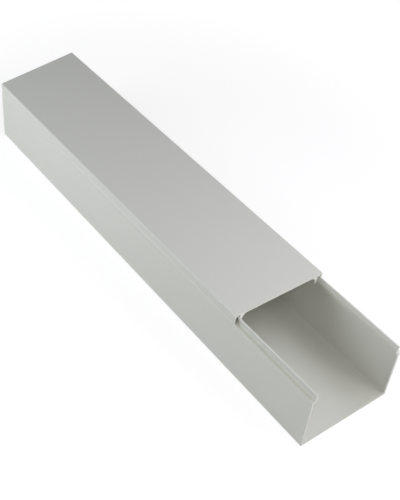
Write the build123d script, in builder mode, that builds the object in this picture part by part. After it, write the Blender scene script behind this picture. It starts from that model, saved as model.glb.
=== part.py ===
from build123d import *
import os

# Cord cover raceway: an extruded channel with snap lips and a clip-on cover, cut to a short length.
# Millimetres. X runs across the width, Y along the length and Z up. The origin is under the middle of
# the channel, at floor level. The uncovered end of the channel points to -Y.

# Overall sizes
width = 60.0  # across the outer faces of the channel
height = 40.0  # underside of the channel to the top of the cover
length = 314.0  # along the longer side
open_length = 59.0  # stretch of channel that the cover leaves bare at the near end
far_cut_slant = 11.5  # degrees by which the far saw cut is off square

# Channel
wall = 1.4  # side walls
floor = 1.4
foot_radius = 0.8  # outer bottom edges
root_radius = 0.3  # where the walls leave the floor

# Snap lip along the top of each wall
neck_wall = 1.0  # lip at its foot, behind the cover's hook
lip_top = 0.88  # flat top of the lip
lip_radius = 0.3  # edges of that flat
flare_height = 2.3  # inner face of the lip, which leans outwards
ledge_radius = 0.5  # outer edge of the ledge that carries the skirt
ledge_root_radius = 0.2  # where the lip rises from the ledge

# Cover
cover_plate = 1.0
cover_radius = 0.5  # long top edges
cover_overhang = 0.1  # by which each long top edge stands proud of the channel's wall
skirt = 0.8
skirt_lean = 0.25  # inward lean of the skirt from its top to its lower edge
skirt_drop = 5.6  # top of the cover to the lower edge of the skirt
skirt_radius = 1.0  # inside the corner between the plate and the skirt
hook_catch = 0.3  # reach of the hook under the lip
hook_nose = 0.2  # upright tip of the hook
hook_slope = 0.2  # rise of the hook's upper face for each millimetre back to the skirt
rib = 1.5
rib_drop = 4.8
rib_radius = 0.3  # root of the rib on the side of the skirt
haunch_radius = 3.2  # root of the rib on the side of the cables

# Clearances between the two pieces
seat_gap = 0.1  # skirt to ledge
fit = 0.3  # hook to lip
lip_gap = 0.95  # lip to the inside of the skirt, room to slip the cover on
lip_room = 0.35  # lip to the cover's underside
rib_gap = 0.15  # rib to the inside of the lip

# Places that follow from these sizes
half = width / 2
near_end = -length / 2
far_end = length / 2
wall_inside = half - wall
cover_half = half + cover_overhang
skirt_inside = cover_half - skirt
skirt_bottom = height - skirt_drop
cover_underside = height - cover_plate
shoulder = skirt_bottom - seat_gap
hook_top = skirt_bottom + hook_nose
lip_level = cover_underside - lip_room
lip_tip = skirt_inside - lip_gap
hook_tip = lip_tip - hook_catch
hook_back = skirt_inside - skirt_lean
rib_bottom = cover_underside - rib_drop

# The lip's outer face leans out from the ledge to its tip and passes the hook's nose at the fit
lip_lean = (lip_tip - hook_tip + fit) / (lip_level - hook_top)
neck_outside = lip_tip - lip_lean * (lip_level - shoulder)
neck_inside = neck_outside - neck_wall
rib_outside = neck_inside - rib_gap
rib_inside = rib_outside - rib

# One saw cut goes through both pieces at the far end, longer on the +X side
far_cut = Plane(origin=(half, far_end, 0), z_dir=Vector(0, 1, 0).rotate(Axis.Z, far_cut_slant))

# The channel's section: half of it from the middle of the underside round to the middle of the floor
with BuildPart() as base_channel:
    with BuildSketch(Plane.XZ.offset(-far_end)) as channel_section:
        with BuildLine():
            Polyline(
                (0, 0),
                (half, 0),
                (half, shoulder),
                (neck_outside, shoulder),
                (lip_tip, lip_level),
                (lip_tip - lip_top, lip_level),
                (neck_inside, lip_level - flare_height),
                (neck_inside, shoulder),
                (wall_inside, shoulder - (wall_inside - neck_inside)),
                (wall_inside, floor),
                (0, floor),
            )
            mirror(about=Plane.YZ)
        make_face()
    extrude(amount=length)
    # Feet and roots of the side walls
    long_edges = base_channel.edges().filter_by(Axis.Y)
    fillet(long_edges.group_by(Axis.Z)[0], foot_radius)
    long_edges = base_channel.edges().filter_by(Axis.Y)
    fillet(long_edges.filter_by_position(Axis.Z, floor, floor), root_radius)
    # Lip and ledge
    long_edges = base_channel.edges().filter_by(Axis.Y)
    fillet(long_edges.filter_by_position(Axis.Z, lip_level, lip_level), lip_radius)
    ledge_edges = base_channel.edges().filter_by(Axis.Y).filter_by_position(Axis.Z, shoulder, shoulder)
    fillet(ledge_edges.group_by(Axis.X)[0] + ledge_edges.group_by(Axis.X)[-1], ledge_radius)
    ledge_edges = base_channel.edges().filter_by(Axis.Y).filter_by_position(Axis.X, -neck_outside, neck_outside)
    ledge_edges = ledge_edges.filter_by_position(Axis.Z, shoulder, shoulder)
    fillet(ledge_edges.group_by(Axis.X)[0] + ledge_edges.group_by(Axis.X)[-1], ledge_root_radius)
    split(bisect_by=far_cut, keep=Keep.BOTTOM)

# The cover's section: half of it from the middle of the top round the skirt and the rib
with BuildPart() as clip_on_cover:
    with BuildSketch(Plane.XZ.offset(-far_end)) as cover_section:
        with BuildLine():
            Polyline(
                (0, height),
                (cover_half, height),
                (cover_half - skirt_lean, skirt_bottom),
                (hook_tip, skirt_bottom),
                (hook_tip, hook_top),
                (hook_back, hook_top + hook_slope * (hook_back - hook_tip)),
                (skirt_inside, cover_underside),
                (rib_outside, cover_underside),
                (rib_outside, rib_bottom),
                (rib_inside, rib_bottom),
                (rib_inside, cover_underside),
                (0, cover_underside),
            )
            mirror(about=Plane.YZ)
        make_face()
    extrude(amount=length - open_length)
    # Long top edges
    long_edges = clip_on_cover.edges().filter_by(Axis.Y)
    fillet(long_edges.group_by(Axis.Z)[-1], cover_radius)
    # Inside corners, from the skirts inwards: skirt, outer side of the rib, haunch
    corners = clip_on_cover.edges().filter_by(Axis.Y).filter_by_position(Axis.Z, cover_underside, cover_underside)
    fillet(corners.group_by(Axis.X)[0] + corners.group_by(Axis.X)[-1], skirt_radius)
    corners = clip_on_cover.edges().filter_by(Axis.Y).filter_by_position(Axis.X, -rib_outside, rib_outside)
    corners = corners.filter_by_position(Axis.Z, cover_underside, cover_underside)
    fillet(corners.group_by(Axis.X)[0] + corners.group_by(Axis.X)[-1], rib_radius)
    corners = clip_on_cover.edges().filter_by(Axis.Y).filter_by_position(Axis.X, -rib_inside, rib_inside)
    corners = corners.filter_by_position(Axis.Z, cover_underside, cover_underside)
    fillet(corners, haunch_radius)
    split(bisect_by=far_cut, keep=Keep.BOTTOM)

base_channel.part.label = "base_channel"
clip_on_cover.part.label = "clip_on_cover"

os.makedirs("parts", exist_ok=True)
export_step(base_channel.part, "parts/base_channel.step")
export_step(clip_on_cover.part, "parts/clip_on_cover.step")
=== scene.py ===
# %% [markdown]
# # A length of clip-on cable trunking
#
# The real object is a cut length of plastic cable trunking: a deep open channel that is screwed to a
# wall, and a flat cover that snaps over the channel's two lips. Both are extruded in rigid PVC, so
# their shape is one section pushed along one line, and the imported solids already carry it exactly.
# This lesson loads those solids, and gives them a camera, a studio and the finish of the plastic.

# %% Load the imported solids
from math import radians

import bpy
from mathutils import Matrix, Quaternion, Vector


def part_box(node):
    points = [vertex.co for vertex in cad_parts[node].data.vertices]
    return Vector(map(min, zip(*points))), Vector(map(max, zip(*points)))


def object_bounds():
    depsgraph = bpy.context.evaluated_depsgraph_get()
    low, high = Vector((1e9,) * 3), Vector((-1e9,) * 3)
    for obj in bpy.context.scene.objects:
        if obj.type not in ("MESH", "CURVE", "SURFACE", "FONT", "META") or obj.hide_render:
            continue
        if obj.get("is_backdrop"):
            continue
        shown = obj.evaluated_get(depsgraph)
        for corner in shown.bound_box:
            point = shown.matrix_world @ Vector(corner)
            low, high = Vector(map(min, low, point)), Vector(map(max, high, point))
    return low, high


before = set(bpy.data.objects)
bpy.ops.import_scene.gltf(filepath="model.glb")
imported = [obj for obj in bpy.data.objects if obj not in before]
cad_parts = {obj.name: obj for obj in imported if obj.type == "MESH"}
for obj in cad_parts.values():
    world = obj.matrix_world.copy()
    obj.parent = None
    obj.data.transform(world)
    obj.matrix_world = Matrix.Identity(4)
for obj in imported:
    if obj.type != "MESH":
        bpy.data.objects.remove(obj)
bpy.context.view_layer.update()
bpy.ops.object.select_all(action="DESELECT")
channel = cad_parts["base_channel"]
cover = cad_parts["clip_on_cover"]
for node in (channel, cover):
    low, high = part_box(node.name)
    print(node.name, "measures", [round(1000 * side, 1) for side in high - low], "mm")

# %% [markdown]
# ## The camera
#
# The trunking is seen from above its near left corner, so that the mouth of the channel and the cut
# end of the cover both show. A camera can be placed by its angles or by an aim point. The aim point
# is easier to read: the camera stands at one place, looks at a point in the part, and is then turned
# a few degrees about its own line of sight, which gives the part its slant in the picture.

# %% Place the camera
camera_place = Vector((-0.255645, -0.316222, 0.364929))
camera_aim = Vector((-0.000778, -0.033158, 0.020))
camera_turn = radians(7.262)
camera_lens = 65.06
sensor_width = 36.0
nearest_seen, furthest_seen = 0.01, 20.0

camera_data = bpy.data.cameras.new("camera")
camera_data.lens = camera_lens
camera_data.sensor_width = sensor_width
camera_data.clip_start = nearest_seen
camera_data.clip_end = furthest_seen
camera = bpy.data.objects.new("camera", camera_data)
camera.location = camera_place
camera.rotation_mode = "QUATERNION"
sight = (camera_aim - camera_place).to_track_quat("-Z", "Y")
camera.rotation_quaternion = sight @ Quaternion((0, 0, 1), camera_turn)
bpy.context.scene.collection.objects.link(camera)
bpy.context.scene.camera = camera
print("camera stands", round((camera_aim - camera_place).length, 3), "m from its aim point")

# %% [markdown]
# ## Nodes in one line
#
# Every finish below is a small tree of nodes. A helper that adds a node, sets its inputs and links
# the ones that come from another node keeps each tree short enough to read at a glance. An input goes
# by its name, or by its number, as in_0, where a node has several inputs of the same name.

# %% A helper for node trees
def add_node(tree, kind, settings=None, **inputs):
    made = tree.nodes.new(kind)
    for name, value in (settings or {}).items():
        setattr(made, name, value)
    for name, value in inputs.items():
        socket = made.inputs[int(name[3:])] if name.startswith("in_") else made.inputs[name]
        if isinstance(value, bpy.types.NodeSocket):
            tree.links.new(value, socket)
        else:
            socket.default_value = value
    return made


def clear_tree(owner):
    owner.use_nodes = True
    owner.node_tree.nodes.clear()
    return owner.node_tree


# %% [markdown]
# ## The world
#
# The part lies in a white light tent. The world gives the even light that comes from all round, a
# little cool. What the camera and the gloss of the plastic see is plain white, so a Light Path node
# tells those rays from the rays that carry light, and the background doesn't add light to the part.

# %% The white surroundings
tent_light = (0.94, 0.955, 1.0, 1.0)
tent_strength = 0.03
white = (1.0, 1.0, 1.0, 1.0)


def looking_rays(tree):
    ray = add_node(tree, "ShaderNodeLightPath")
    looking = ray.outputs["Is Camera Ray"]
    for other in ("Is Glossy Ray", "Is Transmission Ray"):
        looking = add_node(tree, "ShaderNodeMath", {"operation": "MAXIMUM"},
                           in_0=looking, in_1=ray.outputs[other]).outputs[0]
    return looking


world = bpy.data.worlds.new("light_tent")
bpy.context.scene.world = world
tree = clear_tree(world)
even = add_node(tree, "ShaderNodeBackground", Color=tent_light, Strength=tent_strength)
backdrop = add_node(tree, "ShaderNodeBackground", Color=white, Strength=1.0)
both = add_node(tree, "ShaderNodeMixShader",
                in_0=looking_rays(tree), in_1=even.outputs[0], in_2=backdrop.outputs[0])
add_node(tree, "ShaderNodeOutputWorld", Surface=both.outputs[0])
print("the tent's even light has strength", tent_strength)

# %% [markdown]
# ## The floor
#
# The part lies on a sheet of paper. A sheet that sweeps up behind the part would need a curved mesh.
# The world is white already, so a plain plane is enough, much larger than the part. It is marked as
# stage, because it isn't part of the object.

# %% Lay the sheet
floor_side = 6.0

bpy.ops.mesh.primitive_plane_add(size=floor_side, location=(0, 0, 0))
floor = bpy.context.object
floor.name = "paper_floor"
floor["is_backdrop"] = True
print("floor", floor.name, "is", floor_side, "m square")

# %% [markdown]
# ## The paper
#
# The paper is matt. To the light it is a middle grey, because a white sheet would throw so much light
# back up that the side walls would lose their shading. To the camera it is white: it sees a glow, and
# on top of it a share of the real light on the paper, so that a soft shadow stays along the foot of
# the channel. The glow rises to full white away from the part, so the sheet runs into the backdrop
# without an edge.

# %% Mix the paper
paper_grey = (0.5, 0.5, 0.5, 1.0)
shadow_grey = (0.3, 0.3, 0.3, 1.0)
glow_near, glow_far = 0.80, 1.0
fade_near, fade_far = 0.15, 0.45

paper = bpy.data.materials.new("floor_paper")
tree = clear_tree(paper)
looking = looking_rays(tree)
where = add_node(tree, "ShaderNodeTexCoord")
away = add_node(tree, "ShaderNodeVectorMath", {"operation": "LENGTH"}, in_0=where.outputs["Object"])
fade = add_node(tree, "ShaderNodeMapRange", {"interpolation_type": "SMOOTHSTEP"},
                in_0=away.outputs["Value"], in_1=fade_near, in_2=fade_far,
                in_3=glow_near, in_4=glow_far)
strength = add_node(tree, "ShaderNodeMath", {"operation": "MULTIPLY"},
                    in_0=looking, in_1=fade.outputs[0])
glow = add_node(tree, "ShaderNodeEmission", Color=white, Strength=strength.outputs[0])
grey = add_node(tree, "ShaderNodeMix", {"data_type": "RGBA"},
                in_0=looking, in_6=paper_grey, in_7=shadow_grey)
matt = add_node(tree, "ShaderNodeBsdfDiffuse", Color=grey.outputs[2])
both = add_node(tree, "ShaderNodeAddShader", in_0=matt.outputs[0], in_1=glow.outputs[0])
add_node(tree, "ShaderNodeOutputMaterial", Surface=both.outputs[0])
floor.data.materials.append(paper)
print("the paper is full white from", fade_far, "m away")

# %% [markdown]
# ## Six soft boxes
#
# The tent is lit through its cloth by six soft lamps. One stands low in front, picks out the sawn end
# of the channel and reaches in under the cover. One stands beyond the far left end, so the left wall
# pales away from the viewer. Three hang over the open end, so the cover and the bare floor of the
# channel pale towards the viewer. Two of these are on the right, where the right wall keeps their
# light from the root of the floor and leaves it darker. The last stands low on the right, so that the
# wall on that side isn't dull when the part is seen from there. Area lamps give that soft falloff.

# %% Hang the lamps
cool = (0.925, 0.955, 1.0)
cooler = (0.85, 0.85, 1.0)
mild = (1.0, 0.96, 0.99)
warm = (0.97, 0.99, 0.935)
middle = Vector((0.0, -0.02, 0.03))


def soft_box(name, place, side, power, colour):
    lamp = bpy.data.lights.new(name, "AREA")
    lamp.shape = "SQUARE"
    lamp.size = side
    lamp.energy = power
    lamp.color = colour
    made = bpy.data.objects.new(name, lamp)
    made.location = place
    made.rotation_mode = "QUATERNION"
    made.rotation_quaternion = (middle - Vector(place)).to_track_quat("-Z", "Y")
    made.visible_camera = False
    bpy.context.scene.collection.objects.link(made)
    print(name, "gives", power, "W from", place)


soft_box("front_box", (0.20, -0.70, 0.20), 0.30, 1.32, warm)
soft_box("far_left_box", (-0.42, 0.22, 0.20), 0.40, 1.94, cool)
soft_box("near_left_box", (-0.15, -0.30, 0.30), 0.25, 0.405, mild)
soft_box("near_right_box", (0.12, -0.25, 0.22), 0.15, 0.165, mild)
soft_box("high_right_box", (0.18, -0.14, 0.35), 0.20, 0.465, cooler)
soft_box("low_right_box", (0.50, 0.04, 0.07), 0.14, 0.40, mild)

# %% [markdown]
# ## The skin of the plastic
#
# Rigid PVC leaves the die with a satin skin. Along its length it carries hair-fine lines drawn by the
# die, and across it the colour is even, with only a faint cloudiness. Both could be painted on an
# image, but noise needs no picture and has no seams. The lines are a noise that is left as it is
# across the section and stretched far along it. It is read from Object coordinates, so the pattern
# stays on the piece wherever the piece slides.

# %% Lines drawn by the die
line_scale = 900.0
line_stretch = 0.006
cloud_scale = 38.0


def die_lines(tree, place):
    drawn_out = add_node(tree, "ShaderNodeMapping", Vector=place, Scale=(1.0, line_stretch, 1.0))
    return add_node(tree, "ShaderNodeTexNoise", Vector=drawn_out.outputs[0],
                    Scale=line_scale, Detail=4.0, Roughness=0.6).outputs["Fac"]


def cloudiness(tree, place):
    return add_node(tree, "ShaderNodeTexNoise", Vector=place,
                    Scale=cloud_scale, Detail=3.0, Roughness=0.55).outputs["Fac"]


line_gap = 1000 / line_scale
print("the die lines are about", round(line_gap, 1), "mm apart and",
      round(line_gap / line_stretch), "mm long")

# %% [markdown]
# ## The sawn ends
#
# The length was cut with a saw, so its end faces lost the satin skin: they are paler, matt and finely
# scratched across. Painting them needs a mask. A mask by place would break if the length changed, so
# this one asks which way the surface faces: only the sawn faces look along the extrusion.

# %% Find and scratch the sawn faces
sawn_from, sawn_to = 0.80, 0.90
scratch_scale = 4200.0
scratch_stretch = 0.05


def sawn_mask(tree, facing):
    axes = add_node(tree, "ShaderNodeSeparateXYZ", Vector=facing)
    along = add_node(tree, "ShaderNodeMath", {"operation": "ABSOLUTE"}, in_0=axes.outputs["Y"])
    return add_node(tree, "ShaderNodeMapRange", in_0=along.outputs[0],
                    in_1=sawn_from, in_2=sawn_to).outputs[0]


def saw_scratches(tree, place):
    across = add_node(tree, "ShaderNodeMapping", Vector=place, Scale=(scratch_stretch, 1.0, 1.0))
    return add_node(tree, "ShaderNodeTexNoise", Vector=across.outputs[0],
                    Scale=scratch_scale, Detail=3.0, Roughness=0.65).outputs["Fac"]


print("the saw scratches are about", round(1000 / scratch_scale, 2), "mm apart")

# %% [markdown]
# ## One recipe for both extrusions
#
# Channel and cover are the same light grey compound, so one recipe serves both, and each gets its own
# material from it. It starts with the colour. The grey of the skin shifts by a part or two in a
# hundred with the lines and the clouds, and the sawn faces swap to a paler grey that shifts more with
# the scratches. A single colour would be simpler, but it looks like paint and not like plastic.

# %% Mix the colour
skin_grey = (0.660, 0.668, 0.605)
skin_shift = 0.024
sawn_grey = (0.800, 0.806, 0.755)
sawn_shift = 0.07
line_contrast = 0.6
cloud_share = 0.5


def mix_greys(tree, pattern, grey, shift):
    darker, paler = [(*[part * (1 + way * shift) for part in grey], 1.0) for way in (-1, 1)]
    return add_node(tree, "ShaderNodeMix", {"data_type": "RGBA"},
                    in_0=pattern, in_6=darker, in_7=paler).outputs[2]


def pvc_colour(tree, lines, clouds, scratches, sawn):
    softened = add_node(tree, "ShaderNodeMath", {"operation": "MULTIPLY_ADD"},
                        in_0=lines, in_1=line_contrast, in_2=(1 - line_contrast) / 2)
    pattern = add_node(tree, "ShaderNodeMix", {"data_type": "FLOAT"},
                       in_0=cloud_share, in_2=softened.outputs[0], in_3=clouds)
    skin = mix_greys(tree, pattern.outputs[0], skin_grey, skin_shift)
    bare = mix_greys(tree, scratches, sawn_grey, sawn_shift)
    return add_node(tree, "ShaderNodeMix", {"data_type": "RGBA"},
                    in_0=sawn, in_6=skin, in_7=bare).outputs[2]


print("the skin's grey shifts by", 100 * skin_shift, "% at most")

# %% [markdown]
# ## Gloss and relief
#
# A satin skin is smooth but not polished, so its roughness lies near the middle of the scale and
# wavers with the die lines. A sawn face is rougher. The lines and the scratches are also a relief,
# hundredths of a millimetre deep. As real geometry they would take millions of faces, so a Bump node
# tilts the light on the surface instead.

# %% Roughen the skin and the sawn faces
satin_low, satin_high = 0.40, 0.50
sawn_rough = 0.75
relief_strength = 0.35
relief_depth = 0.00002


def pvc_roughness(tree, lines, sawn):
    satin = add_node(tree, "ShaderNodeMapRange", in_0=lines, in_3=satin_low, in_4=satin_high)
    return add_node(tree, "ShaderNodeMix", {"data_type": "FLOAT"},
                    in_0=sawn, in_2=satin.outputs[0], in_3=sawn_rough).outputs[0]


def pvc_relief(tree, lines, scratches, sawn):
    height = add_node(tree, "ShaderNodeMix", {"data_type": "FLOAT"},
                      in_0=sawn, in_2=lines, in_3=scratches)
    return add_node(tree, "ShaderNodeBump", Strength=relief_strength, Distance=relief_depth,
                    Height=height.outputs[0]).outputs[0]


print("the relief is at most", round(1e6 * relief_depth), "micrometres deep")

# %% [markdown]
# ## The finished plastic
#
# One Principled shader takes colour, roughness and relief together. How strongly it bends light, its
# IOR, is the same all over, so it is set on the shader itself. A piece with more relief of its own
# hands in a function that adds it.

# %% Mix the plastic
pvc_ior = 1.5


def rigid_pvc(name, more_relief=None):
    material = bpy.data.materials.new(name)
    tree = clear_tree(material)
    where = add_node(tree, "ShaderNodeTexCoord")
    place = where.outputs["Object"]
    lines, clouds = die_lines(tree, place), cloudiness(tree, place)
    scratches, sawn = saw_scratches(tree, place), sawn_mask(tree, where.outputs["Normal"])
    normal = pvc_relief(tree, lines, scratches, sawn)
    if more_relief is not None:
        normal = more_relief(tree, place, normal)
    looks = {"Base Color": pvc_colour(tree, lines, clouds, scratches, sawn),
             "Roughness": pvc_roughness(tree, lines, sawn),
             "Normal": normal}
    plastic = add_node(tree, "ShaderNodeBsdfPrincipled", IOR=pvc_ior, **looks)
    add_node(tree, "ShaderNodeOutputMaterial", Surface=plastic.outputs[0])
    print(name, "has", len(tree.nodes), "nodes")
    return material


# %% [markdown]
# ## The channel
#
# The channel could be modelled again from its section, but its solid is right as it is. It keeps its
# mesh, and only swaps the plain colour it came with for the plastic.

# %% Finish the channel
def dress(node, material):
    for slot in node.material_slots:
        slot.material = material
    print(node.name, "wears", material.name)


dress(channel, rigid_pvc("channel_pvc_grey"))

# %% [markdown]
# ## The cover
#
# Under each edge of the cover runs a rib. Plastic shrinks more over a rib than beside it, so a faint
# straight hollow shows on the face above. It is only hundredths of a millimetre deep, too shallow for
# the solid, so it is a bump that follows the distance from the rib's middle line.

# %% Finish the cover
rib_middle = 0.0258
hollow_reach = 0.0016
hollow_depth = 0.00003


def sink_hollows(tree, place, normal):
    axes = add_node(tree, "ShaderNodeSeparateXYZ", Vector=place)
    aside = add_node(tree, "ShaderNodeMath", {"operation": "ABSOLUTE"}, in_0=axes.outputs["X"])
    off = add_node(tree, "ShaderNodeMath", {"operation": "SUBTRACT"},
                   in_0=aside.outputs[0], in_1=rib_middle)
    off = add_node(tree, "ShaderNodeMath", {"operation": "ABSOLUTE"}, in_0=off.outputs[0])
    height = add_node(tree, "ShaderNodeMapRange", {"interpolation_type": "SMOOTHSTEP"},
                      in_0=off.outputs[0], in_1=0.0, in_2=hollow_reach)
    return add_node(tree, "ShaderNodeBump", Strength=1.0, Distance=hollow_depth,
                    Height=height.outputs[0], Normal=normal).outputs[0]


dress(cover, rigid_pvc("cover_pvc_grey", sink_hollows))

# %% [markdown]
# ## The picture's tone
#
# Blender can bend colours as film does. Standard keeps every colour as it is written, so the plastic
# can be compared with a sample.

# %% Set the tone and finish
bpy.context.scene.view_settings.view_transform = "Standard"
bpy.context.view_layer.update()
low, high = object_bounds()
print("the dressed part measures", [round(1000 * side, 1) for side in high - low], "mm")
